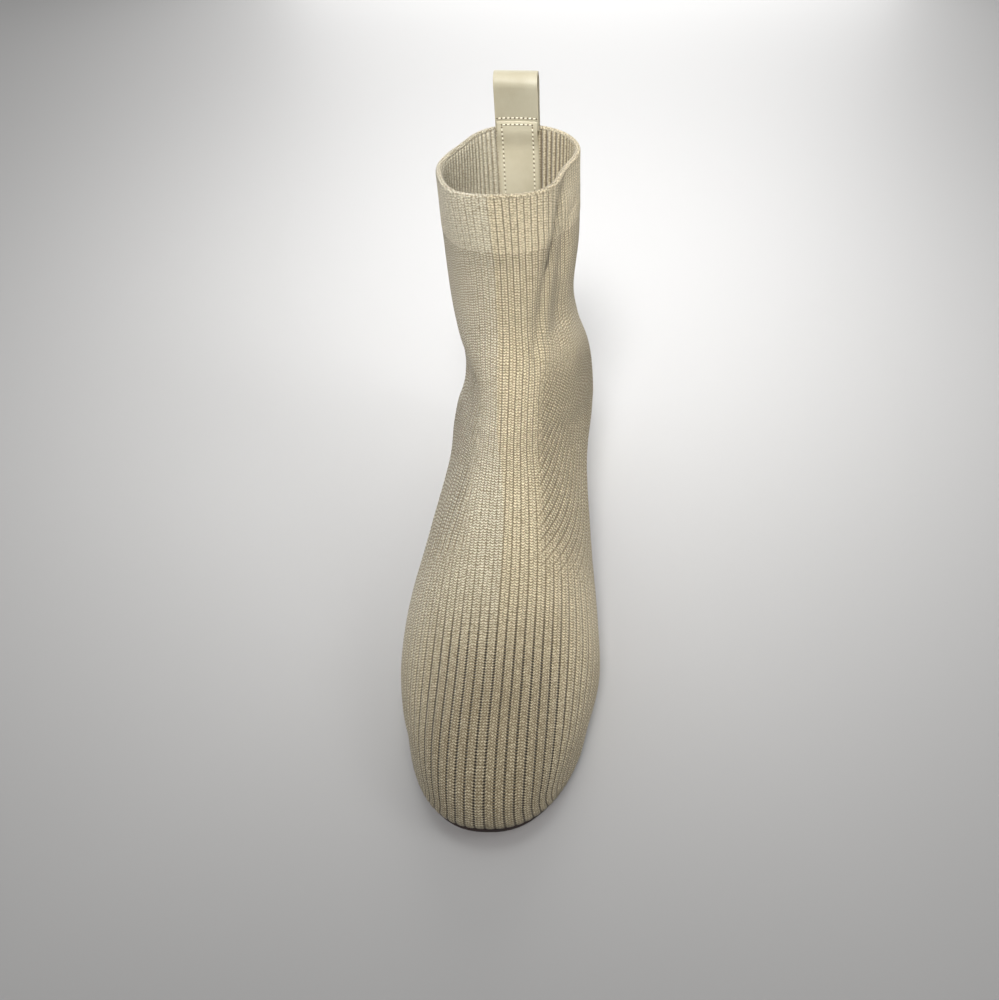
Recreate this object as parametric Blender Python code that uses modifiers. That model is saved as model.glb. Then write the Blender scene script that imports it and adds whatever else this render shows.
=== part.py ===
"""Knitted ankle boot with a round toe, a block heel and a leather pull loop.

A right boot, empty, standing on its heel and forefoot. Metres, +Z up. The toe points along -Y,
the outer (lateral) side is -X and the inner (medial) side is +X. The origin is the middle of the
heel's face on the floor. "Along" is the distance from the back of the boot towards the toe, as a
share of the length.
"""

import math

import bmesh
import bpy
import numpy as np

# Driving sizes of the upper
LENGTH = 0.262
BALL_WIDTH = 0.0835
HEEL_WIDTH = 0.0660
COLLAR_WIDTH = 0.0630
SHAFT_HEIGHT = 0.1400
INSTEP_HEIGHT = 0.0760
HEEL_RISE = 0.0440
SEAT_FALL = 0.0030
TOE_SPRING = 0.0080
TOE_OVERHANG = 0.0016

# Knitted wall and its cuff
KNIT_WALL = 0.0020
CUFF_HEIGHT = 0.0275
CUFF_STEP = 0.0006
CUFF_STEP_RINGS = 0.015

# Sole, insole and the clearance between pieces
SOLE_THICKNESS = 0.0030
SOLE_MARGIN = 0.0006
SOLE_NARROWING = 0.055
INSOLE_THICKNESS = 0.0025
INSOLE_CLEARANCE = 0.0014
GAP = 0.0003
SOLE_GAP = 0.0006

# Heel block and the rubber piece under it
HEEL_DEPTH = 0.0480
HEEL_BLOCK_WIDTH = 0.0520
HEEL_SET_IN = 0.0015
HEEL_TAPER = 0.0025
HEEL_CORNER = 0.0050
LIFT_THICKNESS = 0.0050

# Leather pull loop and the stay inside the back of the shaft
LEATHER = 0.0015
LOOP_WIDTH = 0.0195
LOOP_RISE = 0.0230
LOOP_RADIUS = 0.0040
LOOP_LEAN = 0.0015
LOOP_TAIL_INSIDE = 0.0012
LOOP_TAIL_OUTSIDE = 0.0200
STAY_WIDTH = 0.0195
STAY_LENGTH = 0.0600
STAY_BELOW_RIM = 0.0004

# Places along the boot
SEAT_START = 0.026
TREAD_START = 0.66
TREAD_END = 0.79
WIDEST = 0.73
TOE_STATION = 0.86
TOE_CORNER = 0.935

# Half widths of the upper's lower edge, as shares of the ball width
EDGE = [
    dict(along=0.00, lateral=0.335, medial=0.335),
    dict(along=0.12, lateral=0.340, medial=0.340),
    dict(along=0.24, lateral=0.325, medial=0.310),
    dict(along=0.38, lateral=0.330, medial=0.270),
    dict(along=0.52, lateral=0.390, medial=0.320),
    dict(along=0.64, lateral=0.450, medial=0.420),
    dict(along=0.73, lateral=0.475, medial=0.460),
    dict(along=0.84, lateral=0.457, medial=0.447),
    dict(along=1.00, lateral=0.436, medial=0.435),
]
HEEL_ROUND = 0.11
HEEL_FULLNESS = 2.2
TOE_FULLNESS = 2.35
TOE_PROFILE = 2.3

# Rings of the wall, from the collar to the toe. A ring lies in a sloping plane between its ridge,
# the front or top point, and its base, the back or bottom point. along is a share of the length;
# up is a height above the lower edge, as a share of INSTEP_HEIGHT or, for a shaft ring and for
# the back line, of SHAFT_HEIGHT. lateral and medial are half widths as shares of the zone's
# width, widest is their place from base to ridge, front and back are the fullness of the curve.
SHAFT_RINGS = [
    dict(ridge_along=0.327, ridge_up=1.094, base_along=0.036, base_up=1.006,
         lateral=0.502, medial=0.490, widest=0.50, front=2.25, back=2.30),
    dict(ridge_along=0.322, ridge_up=0.857, base_along=0.048, base_up=0.770,
         lateral=0.508, medial=0.468, widest=0.50, front=2.10, back=2.15),
    dict(ridge_along=0.342, ridge_up=0.685, base_along=0.052, base_up=0.560,
         lateral=0.488, medial=0.412, widest=0.48, front=2.00, back=2.05),
]
HEEL_RINGS = [
    dict(ridge_along=0.362, ridge_up=1.146, base_along=0.040, base_up=0.390,
         lateral=0.446, medial=0.420, widest=0.44, front=2.00, back=2.00),
    dict(ridge_along=0.400, ridge_up=1.075, base_along=0.017, base_up=0.245,
         lateral=0.424, medial=0.484, widest=0.38, front=1.95, back=2.00),
    dict(ridge_along=0.436, ridge_up=1.020, base_along=0.008, base_up=0.122,
         lateral=0.430, medial=0.512, widest=0.32, front=1.95, back=2.00),
    dict(ridge_along=0.462, ridge_up=0.984, base_along=SEAT_START, base_up=0.000,
         lateral=0.490, medial=0.522, widest=0.27, front=2.00, back=2.00),
    dict(ridge_along=0.487, ridge_up=0.954, base_along=0.115, base_up=0.000,
         lateral=0.508, medial=0.518, widest=0.24, front=2.00, back=2.00),
    dict(ridge_along=0.516, ridge_up=0.896, base_along=0.270, base_up=0.000,
         lateral=0.504, medial=0.500, widest=0.23, front=2.00, back=2.00),
]
FOOT_RINGS = [
    dict(ridge_along=0.572, ridge_up=0.808, base_along=0.440, base_up=0.000,
         lateral=0.470, medial=0.434, widest=0.25, front=2.05, back=2.00),
    dict(ridge_along=0.645, ridge_up=0.702, base_along=0.595, base_up=0.000,
         lateral=0.538, medial=0.484, widest=0.27, front=2.10, back=2.00),
    dict(ridge_along=0.730, ridge_up=0.595, base_along=0.730, base_up=0.000,
         lateral=0.528, medial=0.508, widest=0.29, front=2.20, back=2.00),
    dict(ridge_along=0.805, ridge_up=0.512, base_along=0.812, base_up=0.000,
         lateral=0.480, medial=0.464, widest=0.30, front=2.30, back=2.00),
    dict(ridge_along=TOE_STATION, ridge_up=0.458, base_along=TOE_STATION, base_up=0.000,
         lateral=0.426, medial=0.424, widest=0.30, front=2.35, back=2.00),
]
SEAT_RING = len(SHAFT_RINGS) + 3
LAST_RING = len(SHAFT_RINGS) + len(HEEL_RINGS) + len(FOOT_RINGS) - 1

# Soft dents of the slack knit: place in rings from the collar, place around from ridge (0) to
# base (1), how far each reaches both ways, and its depth as a share of the collar's width.
DENTS = [
    dict(side="medial", ring=0.0, around=0.38, rings=0.8, spread=0.165, depth=0.088),
    dict(side="medial", ring=1.0, around=0.31, rings=0.7, spread=0.085, depth=0.060),
    dict(side="medial", ring=2.2, around=0.28, rings=0.8, spread=0.080, depth=0.050),
    dict(side="medial", ring=3.7, around=0.24, rings=0.8, spread=0.090, depth=0.025),
    dict(side="lateral", ring=0.0, around=0.69, rings=1.2, spread=0.105, depth=0.100),
    dict(side="lateral", ring=0.0, around=0.17, rings=1.0, spread=0.110, depth=-0.045),
    dict(side="lateral", ring=4.3, around=0.33, rings=0.7, spread=0.110, depth=0.035),
]

# Resolution
SIDE_SEGMENTS = 20
RINGS_PER_ROW = 3
SEAT_STEPS = (0.10, 0.25, 0.45, 0.70)
SEAT_EASE = 1.4
TOE_RINGS = 9
PLATE_ROWS = 60
PLATE_SEGMENTS = 4
HEEL_ARC = 16
CORNER_ARC = 4
STRIP_SEGMENTS = 6
STAY_ROWS = 12
TAIL_ROWS = 6
LEG_ROWS = 5
BEND_ROWS = 10
CURVE_SAMPLES = 160

FINISHES = {
    "knit": dict(colour=(0.60, 0.55, 0.43), roughness=0.95),
    "leather": dict(colour=(0.62, 0.57, 0.44), roughness=0.45),
    "sole_edge": dict(colour=(0.055, 0.022, 0.016), roughness=0.50),
    "insole": dict(colour=(0.62, 0.56, 0.44), roughness=0.80),
    "rubber": dict(colour=(0.050, 0.030, 0.025), roughness=0.75),
}

# The heel block, in metres along the boot. Its face on the floor is centred on the origin.
HEEL_BACK = SEAT_START * LENGTH + HEEL_SET_IN
HEEL_BREAST = HEEL_BACK + HEEL_DEPTH
BACK_Y = (HEEL_BACK + HEEL_BREAST) / 2
SEAT_END = HEEL_BREAST / LENGTH


def smooth_curve(knots, values, at):
    """A smooth curve through the rows of a table, with slopes taken from the neighbours."""
    knots = np.asarray(knots, float)
    values = np.asarray(values, float)
    at = np.clip(np.asarray(at, float), knots[0], knots[-1])
    slopes = np.gradient(values, knots)
    i = np.clip(np.searchsorted(knots, at, side="right") - 1, 0, len(knots) - 2)
    span = knots[i + 1] - knots[i]
    t = (at - knots[i]) / span
    return (
        (2 * t**3 - 3 * t**2 + 1) * values[i]
        + (t**3 - 2 * t**2 + t) * span * slopes[i]
        + (3 * t**2 - 2 * t**3) * values[i + 1]
        + (t**3 - t**2) * span * slopes[i + 1]
    )


def even_points(points, count):
    """The same curve with its points an equal length apart."""
    steps = np.linalg.norm(np.diff(points, axis=0), axis=1)
    run = np.concatenate([[0], np.cumsum(steps)])
    at = np.linspace(0, run[-1], count)
    return np.stack([np.interp(at, run, column) for column in points.T], axis=1)


def place(points):
    """Points given as metres along, sideways and up, in the part's frame."""
    points = np.asarray(points, float)
    return np.stack([points[..., 1], BACK_Y - points[..., 0], points[..., 2]], axis=-1)


def edge_height(along):
    """Height of the upper's lower edge: heel seat, waist, flat tread and toe spring."""
    s = np.asarray(along, float)
    tread = SOLE_THICKNESS + SOLE_GAP
    seat = HEEL_RISE - SEAT_FALL * s / SEAT_END
    waist_length = TREAD_START - SEAT_END
    t = np.clip((s - SEAT_END) / waist_length, 0, 1)
    waist = (
        (2 * t**3 - 3 * t**2 + 1) * (HEEL_RISE - SEAT_FALL)
        - (t**3 - 2 * t**2 + t) * waist_length * SEAT_FALL / SEAT_END
        + (3 * t**2 - 2 * t**3) * tread
    )
    rise = np.clip((s - TREAD_END) / (1 - TREAD_END), 0, None)
    return np.where(s < SEAT_END, seat, waist) + TOE_SPRING * rise**1.6


def edge_width(along, side, grow=0.0):
    """Half width of the upper's lower edge on one side, grown outwards by a margin."""
    ends = grow / LENGTH
    s = np.asarray(along, float)
    table = smooth_curve([row["along"] for row in EDGE], [row[side] for row in EDGE], s)
    heel = np.clip((SEAT_START - ends + HEEL_ROUND - s) / HEEL_ROUND, 0, 1)
    toe = np.clip((s - WIDEST) / (1 + ends - WIDEST), 0, 1)
    heel_rounding = (1 - heel**HEEL_FULLNESS) ** (1 / HEEL_FULLNESS)
    toe_rounding = (1 - toe**TOE_FULLNESS) ** (1 / TOE_FULLNESS)
    return (table * BALL_WIDTH + grow) * heel_rounding * toe_rounding


def ring_table():
    """The rings' rows in metres, with widest, front and back as they are."""
    rows = []
    zones = (
        (SHAFT_RINGS, SHAFT_HEIGHT, COLLAR_WIDTH),
        (HEEL_RINGS, INSTEP_HEIGHT, HEEL_WIDTH),
        (FOOT_RINGS, INSTEP_HEIGHT, BALL_WIDTH),
    )
    for rings, height, width in zones:
        for ring in rings:
            rows.append([
                ring["ridge_along"] * LENGTH,
                edge_height(ring["ridge_along"]) + ring["ridge_up"] * height,
                ring["base_along"] * LENGTH,
                edge_height(ring["base_along"]) + ring["base_up"] * SHAFT_HEIGHT,
                ring["lateral"] * width,
                ring["medial"] * width,
                ring["widest"],
                ring["front"],
                ring["back"],
            ])
    return np.array(rows, float)


def ring_at(position):
    """The ring at a place between the rows. Past the heel seat its base is on the lower edge."""
    table = ring_table()
    names = ("ridge_s", "ridge_z", "base_s", "base_z", "lateral", "medial", "widest", "front", "back")
    from_seat = position - SEAT_RING
    if abs(from_seat) < 1:
        base_position = SEAT_RING + math.copysign(abs(from_seat) ** SEAT_EASE, from_seat)
    else:
        base_position = position
    ring = {}
    for name, column in zip(names, table.T):
        at = base_position if name.startswith("base") else position
        ring[name] = float(smooth_curve(np.arange(len(table)), column, at))
    ring["is_open"] = position > SEAT_RING
    if ring["is_open"]:
        ring["base_z"] = float(edge_height(ring["base_s"] / LENGTH))
    return ring


def half_curve(ring, side):
    """One side of a ring from its ridge to its base: metres along, sideways and up."""
    sign = -1 if side == "lateral" else 1
    end = float(edge_width(ring["base_s"] / LENGTH, side)) if ring["is_open"] else 0.0
    width = max(ring[side], end * 1.02)
    turn = math.acos((end / width) ** (ring["back"] / 2))
    t = np.linspace(math.pi / 2, 0, CURVE_SAMPLES)
    power = 2 / ring["front"]
    front_x = np.abs(np.cos(t)) ** power * width
    front_share = ring["widest"] + (1 - ring["widest"]) * np.sin(t) ** power
    t = np.linspace(0, turn, CURVE_SAMPLES)[1:]
    power = 2 / ring["back"]
    back_x = np.abs(np.cos(t)) ** power * width
    back_share = ring["widest"] * (1 - (np.sin(t) / math.sin(turn)) ** power)
    share = np.concatenate([front_share, back_share])
    return np.stack([
        ring["base_s"] + (ring["ridge_s"] - ring["base_s"]) * share,
        sign * np.concatenate([front_x, back_x]),
        ring["base_z"] + (ring["ridge_z"] - ring["base_z"]) * share,
    ], axis=1)


def press_dents(points, ring, side, position):
    """The half ring pressed towards its middle where the slack knit has its dents."""
    around = np.linspace(0, 1, len(points))
    middle = np.array([
        (ring["ridge_s"] + ring["base_s"]) / 2,
        0,
        (ring["ridge_z"] + ring["base_z"]) / 2,
    ])
    inward = middle - points
    inward /= np.linalg.norm(inward, axis=1)[:, None]
    depth = np.zeros(len(points))
    for dent in DENTS:
        if dent["side"] == side:
            rows = (position - dent["ring"]) / dent["rings"]
            across = (around - dent["around"]) / dent["spread"]
            depth += dent["depth"] * COLLAR_WIDTH * np.exp(-rows**2 - across**2)
    return points + inward * depth[:, None]


def half_ring(position, side, out=0.0):
    """One side of the wall's ring at a place between the rows, moved out by a step."""
    ring = ring_at(position)
    ring["ridge_s"] += out
    ring["base_s"] -= out
    ring["lateral"] += out
    ring["medial"] += out
    return press_dents(even_points(half_curve(ring, side), SIDE_SEGMENTS + 1), ring, side, position)


def toe_half_ring(side, share):
    """A ring of the toe, between the toe station (0) and the front of the lower edge (1)."""
    sign = -1 if side == "lateral" else 1
    station = half_ring(LAST_RING, side)
    turn = share * math.pi / 2
    forward = math.sin(turn) ** (2 / TOE_PROFILE)
    down = max(math.cos(turn), 0) ** (2 / TOE_PROFILE)
    front_along = 1 - (1 - TOE_CORNER) * np.linspace(0, 1, CURVE_SAMPLES) ** 2
    front = np.stack([front_along * LENGTH, edge_width(front_along, side)], axis=1)
    front = even_points(front, SIDE_SEGMENTS + 1)
    bulge = TOE_OVERHANG / (LENGTH * (1 - TOE_STATION)) * 4 * down * (1 - down)
    bulge = bulge * (1 - np.linspace(0, 1, SIDE_SEGMENTS + 1) ** 2)
    reach = (front[:, 0] - TOE_STATION * LENGTH) * (forward + bulge)
    corner = TOE_STATION + (TOE_CORNER - TOE_STATION) * forward
    widths = edge_width(np.array([TOE_STATION, corner, TOE_CORNER]), side)
    narrowing = (widths[1] - widths[0]) / (widths[2] - widths[0])
    rise = station[:, 2] - edge_height(TOE_STATION)
    slope = (FOOT_RINGS[-1]["ridge_up"] - FOOT_RINGS[-2]["ridge_up"]) * INSTEP_HEIGHT
    slope /= (FOOT_RINGS[-1]["ridge_along"] - FOOT_RINGS[-2]["ridge_along"]) * LENGTH
    falling = rise * (1 + slope * reach / rise[0])
    along = TOE_STATION * LENGTH + reach
    return np.stack([
        along,
        station[:, 1] + (sign * front[:, 1] - station[:, 1]) * narrowing,
        edge_height(along / LENGTH) + falling * down,
    ], axis=1)


def full_ring(lateral, medial):
    """A whole ring from the lateral base over the ridge to the medial base."""
    return place(np.concatenate([lateral[::-1], medial[1:]]))


def cuff_position():
    """Where, in rings from the collar, the wall is the cuff's height below the rim."""
    positions = np.linspace(0, len(SHAFT_RINGS), CURVE_SAMPLES)
    rings = [ring_at(position) for position in positions]
    heights = np.array([(ring["ridge_z"] + ring["base_z"]) / 2 for ring in rings])
    return float(np.interp(CUFF_HEIGHT, heights[0] - heights, positions))


def wall_rings():
    """The knitted wall's outer surface as rings from the collar to the toe."""
    cuff = cuff_position()
    below = cuff + CUFF_STEP_RINGS
    places = [(position, CUFF_STEP) for position in np.linspace(0, cuff, RINGS_PER_ROW + 1)]
    shaft_count = round((SEAT_RING - below) * RINGS_PER_ROW) + 1
    places += [(position, 0.0) for position in np.linspace(below, SEAT_RING, shaft_count)]
    places += [(SEAT_RING + step, 0.0) for step in SEAT_STEPS]
    foot_count = (LAST_RING - SEAT_RING - 1) * RINGS_PER_ROW + 1
    places += [(position, 0.0) for position in np.linspace(SEAT_RING + 1, LAST_RING, foot_count)]
    rings = [full_ring(half_ring(position, "lateral", out), half_ring(position, "medial", out))
             for position, out in places]
    for n in range(1, TOE_RINGS + 1):
        rings.append(full_ring(toe_half_ring("lateral", n / TOE_RINGS),
                               toe_half_ring("medial", n / TOE_RINGS)))
    return np.array(rings)


def back_point(position, x):
    """The wall's outer surface near the back line, at a distance x from the middle."""
    ring = ring_at(position)
    width = ring["lateral"] if x < 0 else ring["medial"]
    depth = (1 - abs(x / width) ** ring["back"]) ** (1 / ring["back"])
    share = ring["widest"] * (1 - depth)
    return np.array([
        ring["base_s"] + (ring["ridge_s"] - ring["base_s"]) * share,
        x,
        ring["base_z"] + (ring["ridge_z"] - ring["base_z"]) * share,
    ])


def position_below_rim(distance):
    """Where, in rings from the collar, the back line is a distance below the rim."""
    positions = np.linspace(0, len(SHAFT_RINGS), CURVE_SAMPLES)
    line = np.array([back_point(position, 0) for position in positions])
    run = np.concatenate([[0], np.cumsum(np.linalg.norm(np.diff(line, axis=0), axis=1))])
    return np.interp(distance, run, positions)


def material(name):
    found = bpy.data.materials.get(name)
    if found:
        return found
    made = bpy.data.materials.new(name)
    made.use_nodes = True
    shader = made.node_tree.nodes["Principled BSDF"]
    shader.inputs["Base Color"].default_value = (*FINISHES[name]["colour"], 1)
    shader.inputs["Roughness"].default_value = FINISHES[name]["roughness"]
    shader.inputs["Metallic"].default_value = 0.0
    return made


def add_object(collection, name, solid, finish):
    """A mesh object from a bmesh, with its finish."""
    mesh = bpy.data.meshes.new(name)
    solid.to_mesh(mesh)
    solid.free()
    mesh.materials.append(material(finish))
    mesh.shade_smooth()
    made = bpy.data.objects.new(name, mesh)
    collection.objects.link(made)
    return made


def add_sheet(solid, points):
    """A grid whose vertices lie at points[row][column]."""
    rows, columns = points.shape[:2]
    grid = bmesh.ops.create_grid(solid, x_segments=columns - 1, y_segments=rows - 1, size=0.5)
    for vertex in grid["verts"]:
        column = round((vertex.co.x + 0.5) * (columns - 1))
        row = round((vertex.co.y + 0.5) * (rows - 1))
        vertex.co = points[row][column]
    bmesh.ops.remove_doubles(solid, verts=grid["verts"], dist=1e-5)


def add_face(solid, points):
    """One flat face with its corners at the points."""
    circle = bmesh.ops.create_circle(solid, cap_ends=True, segments=len(points), radius=1)
    for vertex, point in zip(circle["verts"], points):
        vertex.co = point


def close_sides(solid):
    """Bridge the two open borders into one closed solid with its faces pointing out."""
    borders = [edge for edge in solid.edges if len(edge.link_faces) == 1]
    bmesh.ops.bridge_loops(solid, edges=borders)
    bmesh.ops.recalc_face_normals(solid, faces=solid.faces)


def slab(first, second):
    """A closed solid between two sheets of points."""
    solid = bmesh.new()
    add_sheet(solid, first)
    add_sheet(solid, second)
    close_sides(solid)
    return solid


def plate_points(grow, lift, narrowing=0.0):
    """A sheet over the boot's plan, grown outwards by a margin and lifted off the lower edge.

    Narrowing draws its sides in under the knit, as a share of their half widths.
    """
    ends = grow / LENGTH
    turn = np.linspace(0, math.pi, PLATE_ROWS + 1)
    middle = (SEAT_START + 1) / 2
    along = middle - np.cos(turn) * (1 + ends - (SEAT_START - ends)) / 2
    lateral = edge_width(along, "lateral", grow) * (1 - narrowing)
    medial = edge_width(along, "medial", grow) * (1 - narrowing)
    across = np.linspace(0, 1, PLATE_SEGMENTS + 1)
    x = -lateral[:, None] + (lateral + medial)[:, None] * across
    s = np.repeat(along[:, None] * LENGTH, PLATE_SEGMENTS + 1, axis=1)
    z = np.repeat(edge_height(along)[:, None] + lift, PLATE_SEGMENTS + 1, axis=1)
    return place(np.stack([s, x, z], axis=-1))


def heel_loop(taper, height):
    """The heel's outline, round at the back and straight at the breast, drawn in by a taper."""
    width = HEEL_BLOCK_WIDTH / 2 - taper
    back = HEEL_BACK + taper
    breast = HEEL_BREAST - taper
    round_length = HEEL_ROUND * LENGTH
    t = np.linspace(0, math.pi / 2, HEEL_ARC + 1)
    power = 2 / HEEL_FULLNESS
    side = [(back + round_length * (1 - math.cos(a) ** power), width * math.sin(a) ** power)
            for a in t[:-1]]
    side.append((back + round_length, width))
    for a in np.linspace(0, math.pi / 2, CORNER_ARC + 1):
        side.append((breast - HEEL_CORNER * (1 - math.sin(a)), width - HEEL_CORNER * (1 - math.cos(a))))
    outline = side + [(s, -x) for s, x in side[:0:-1]]
    return place([(s, x, height(s)) for s, x in outline])


def heel_top(s):
    """Height of the heel block's top, just under the sole."""
    return HEEL_RISE - SEAT_FALL * s / HEEL_BREAST - SOLE_GAP - SOLE_THICKNESS - GAP


def heel_solid(top_taper, top, bottom_taper, bottom):
    """A solid between two heel outlines."""
    solid = bmesh.new()
    add_face(solid, heel_loop(top_taper, top))
    add_face(solid, heel_loop(bottom_taper, bottom))
    close_sides(solid)
    return solid


def stay_points(depth):
    """The stay's sheet, a depth inside the wall's outer surface, from the rim down the back."""
    positions = position_below_rim(np.linspace(STAY_BELOW_RIM, STAY_LENGTH, STAY_ROWS + 1))
    columns = np.linspace(-STAY_WIDTH / 2, STAY_WIDTH / 2, STRIP_SEGMENTS + 1)
    sheet = []
    for position in positions:
        row = []
        for x in columns:
            point = back_point(position, x)
            down = back_point(position + 0.01, x) - back_point(max(position - 0.01, 0), x)
            side = back_point(position, x + 0.0005) - back_point(position, x - 0.0005)
            inward = np.cross(down, side)
            inward /= np.linalg.norm(inward)
            row.append(point + inward * depth)
        sheet.append(row)
    return place(sheet)


def loop_points(offset):
    """The pull loop's sheet, offset outwards from the middle of the leather."""
    outer_depth = -(CUFF_STEP + GAP + LEATHER / 2)
    inner_depth = KNIT_WALL + GAP + LEATHER + GAP + LEATHER / 2
    outer_places = position_below_rim(np.linspace(LOOP_TAIL_OUTSIDE, 0, TAIL_ROWS + 1))
    inner_places = position_below_rim(np.linspace(0, LOOP_TAIL_INSIDE, TAIL_ROWS // 2 + 1))
    rim = back_point(0, 0)
    radius = LOOP_RADIUS + LEATHER / 2
    bend_s = rim[0] + (outer_depth + inner_depth) / 2 - LOOP_LEAN
    bend_z = rim[2] + LOOP_RISE - LOOP_RADIUS - LEATHER
    columns = np.linspace(-LOOP_WIDTH / 2, LOOP_WIDTH / 2, STRIP_SEGMENTS + 1)
    sheet = []
    for x in columns:
        path = []
        for position in outer_places:
            path.append(back_point(position, x) + np.array([outer_depth, 0, 0]))
        leg_foot = path[-1]
        for h in np.linspace(0, 1, LEG_ROWS + 1)[1:]:
            ease = h * h * (3 - 2 * h)
            path.append(np.array([
                leg_foot[0] + (bend_s - radius - leg_foot[0]) * ease,
                x,
                leg_foot[2] + (bend_z - leg_foot[2]) * h,
            ]))
        for turn in np.linspace(math.pi, 0, BEND_ROWS + 1)[1:]:
            path.append(np.array([bend_s + radius * math.cos(turn), x, bend_z + radius * math.sin(turn)]))
        leg_foot = back_point(0, x) + np.array([inner_depth, 0, 0])
        for h in np.linspace(1, 0, LEG_ROWS + 1)[1:-1]:
            ease = h * h * (3 - 2 * h)
            path.append(np.array([
                leg_foot[0] + (bend_s + radius - leg_foot[0]) * ease,
                x,
                leg_foot[2] + (bend_z - leg_foot[2]) * h,
            ]))
        for position in inner_places:
            path.append(back_point(position, x) + np.array([inner_depth, 0, 0]))
        path = np.array(path)
        tangent = np.gradient(path[:, [0, 2]], axis=0)
        tangent /= np.linalg.norm(tangent, axis=1)[:, None]
        path[:, 0] -= tangent[:, 1] * offset
        path[:, 2] += tangent[:, 0] * offset
        sheet.append(path)
    return place(sheet)


def make_upper(collection):
    """The knitted sock: one wall, open at the collar and underneath, with a thicker cuff."""
    sheet = bmesh.new()
    add_sheet(sheet, wall_rings())
    bmesh.ops.recalc_face_normals(sheet, faces=sheet.faces)
    upper = add_object(collection, "upper", sheet, "knit")
    wall = upper.modifiers.new("wall", "SOLIDIFY")
    wall.thickness = KNIT_WALL
    wall.offset = -1
    wall.use_even_offset = True
    wall.use_rim = True


def make_sole(collection):
    """The outsole, the insole that lies on it, the heel block and its rubber top piece."""
    top = plate_points(SOLE_MARGIN, -SOLE_GAP, SOLE_NARROWING)
    bottom = plate_points(SOLE_MARGIN, -SOLE_GAP - SOLE_THICKNESS, SOLE_NARROWING)
    add_object(collection, "outsole", slab(top, bottom), "sole_edge")
    inset = -(KNIT_WALL + INSOLE_CLEARANCE)
    insole = slab(plate_points(inset, INSOLE_THICKNESS), plate_points(inset, 0))
    add_object(collection, "insole", insole, "insole")
    lift_top = LIFT_THICKNESS + GAP
    heel = heel_solid(0, heel_top, HEEL_TAPER, lambda s: lift_top)
    add_object(collection, "heel", heel, "leather")
    lift = heel_solid(HEEL_TAPER, lambda s: LIFT_THICKNESS, HEEL_TAPER, lambda s: 0)
    add_object(collection, "top_lift", lift, "rubber")


def make_strips(collection):
    """The leather stay inside the back of the shaft, and the pull loop over the collar."""
    depth = KNIT_WALL + GAP
    add_object(collection, "back_stay", slab(stay_points(depth), stay_points(depth + LEATHER)), "leather")
    loop = slab(loop_points(LEATHER / 2), loop_points(-LEATHER / 2))
    add_object(collection, "pull_loop", loop, "leather")


def main():
    for old in list(bpy.data.objects):
        bpy.data.objects.remove(old)
    collection = bpy.data.collections.new("ankle_boot")
    bpy.context.scene.collection.children.link(collection)
    make_upper(collection)
    make_sole(collection)
    make_strips(collection)


main()
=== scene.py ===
import math

import bmesh
import bpy
import numpy as np
from mathutils import Matrix, Vector
from mathutils.bvhtree import BVHTree


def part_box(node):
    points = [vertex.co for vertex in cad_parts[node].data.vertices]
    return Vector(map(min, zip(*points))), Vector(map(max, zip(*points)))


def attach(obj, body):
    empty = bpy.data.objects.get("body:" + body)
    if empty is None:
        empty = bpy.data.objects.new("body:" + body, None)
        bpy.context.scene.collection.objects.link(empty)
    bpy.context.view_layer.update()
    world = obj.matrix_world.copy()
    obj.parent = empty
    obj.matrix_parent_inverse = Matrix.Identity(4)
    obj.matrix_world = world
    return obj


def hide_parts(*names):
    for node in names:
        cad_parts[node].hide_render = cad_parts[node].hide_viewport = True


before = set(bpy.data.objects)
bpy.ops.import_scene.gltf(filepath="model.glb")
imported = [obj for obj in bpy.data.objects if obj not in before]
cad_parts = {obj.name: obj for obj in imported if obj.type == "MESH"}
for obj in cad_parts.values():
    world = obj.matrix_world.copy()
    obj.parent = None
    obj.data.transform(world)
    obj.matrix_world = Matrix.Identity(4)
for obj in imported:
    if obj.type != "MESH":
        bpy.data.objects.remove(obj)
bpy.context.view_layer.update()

# View. The boot is seen from in front and well above, nearly along its length. The lens sits about
# 0.6 m from the toe, so the toe looks larger than the collar.
VIEW_PLACE = (0.0495, -0.4237, 0.3725)
VIEW_DOWN = 43.46
VIEW_TURN = 1.8
camera_data = bpy.data.cameras.new("view")
camera_data.lens = 36.0
camera_data.sensor_width = 36.0
camera_data.shift_x = -0.097
camera_data.clip_start = 0.01
camera = bpy.data.objects.new("view", camera_data)
camera.location = VIEW_PLACE
camera.rotation_euler = (math.radians(90 - VIEW_DOWN), 0, math.radians(VIEW_TURN))
bpy.context.scene.collection.objects.link(camera)
bpy.context.scene.camera = camera
bpy.context.scene.view_settings.view_transform = "Standard"

# Knitted upper. One knitted sock of bone beige yarn, ribbed lengthwise from the toe over the vamp
# and up the shaft. It is turned at the heel, where its ribs run slantwise on the quarters. Its lower
# edge is drawn under and glued to the sole.
LENGTH = 0.262
BALL_WIDTH = 0.0835
HEEL_WIDTH = 0.0660
COLLAR_WIDTH = 0.0630
SHAFT_HEIGHT = 0.1400
INSTEP_HEIGHT = 0.0760
HEEL_RISE = 0.0440
SEAT_FALL = 0.0030
TOE_SPRING = 0.0080
TOE_OVERHANG = 0.0016
SOLE_THICKNESS = 0.0030
SOLE_GAP = 0.0006
HEEL_DEPTH = 0.0480
HEEL_SET_IN = 0.0015
SEAT_START = 0.026
TREAD_START = 0.66
TREAD_END = 0.79
WIDEST = 0.73
TOE_STATION = 0.86
TOE_CORNER = 0.935
HEEL_ROUND = 0.11
HEEL_FULLNESS = 2.2
TOE_FULLNESS = 2.35
TOE_PROFILE = 2.3
SEAT_EASE = 1.4
BACK_Y = SEAT_START * LENGTH + HEEL_SET_IN + HEEL_DEPTH / 2
SEAT_END = (SEAT_START * LENGTH + HEEL_SET_IN + HEEL_DEPTH) / LENGTH

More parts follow.
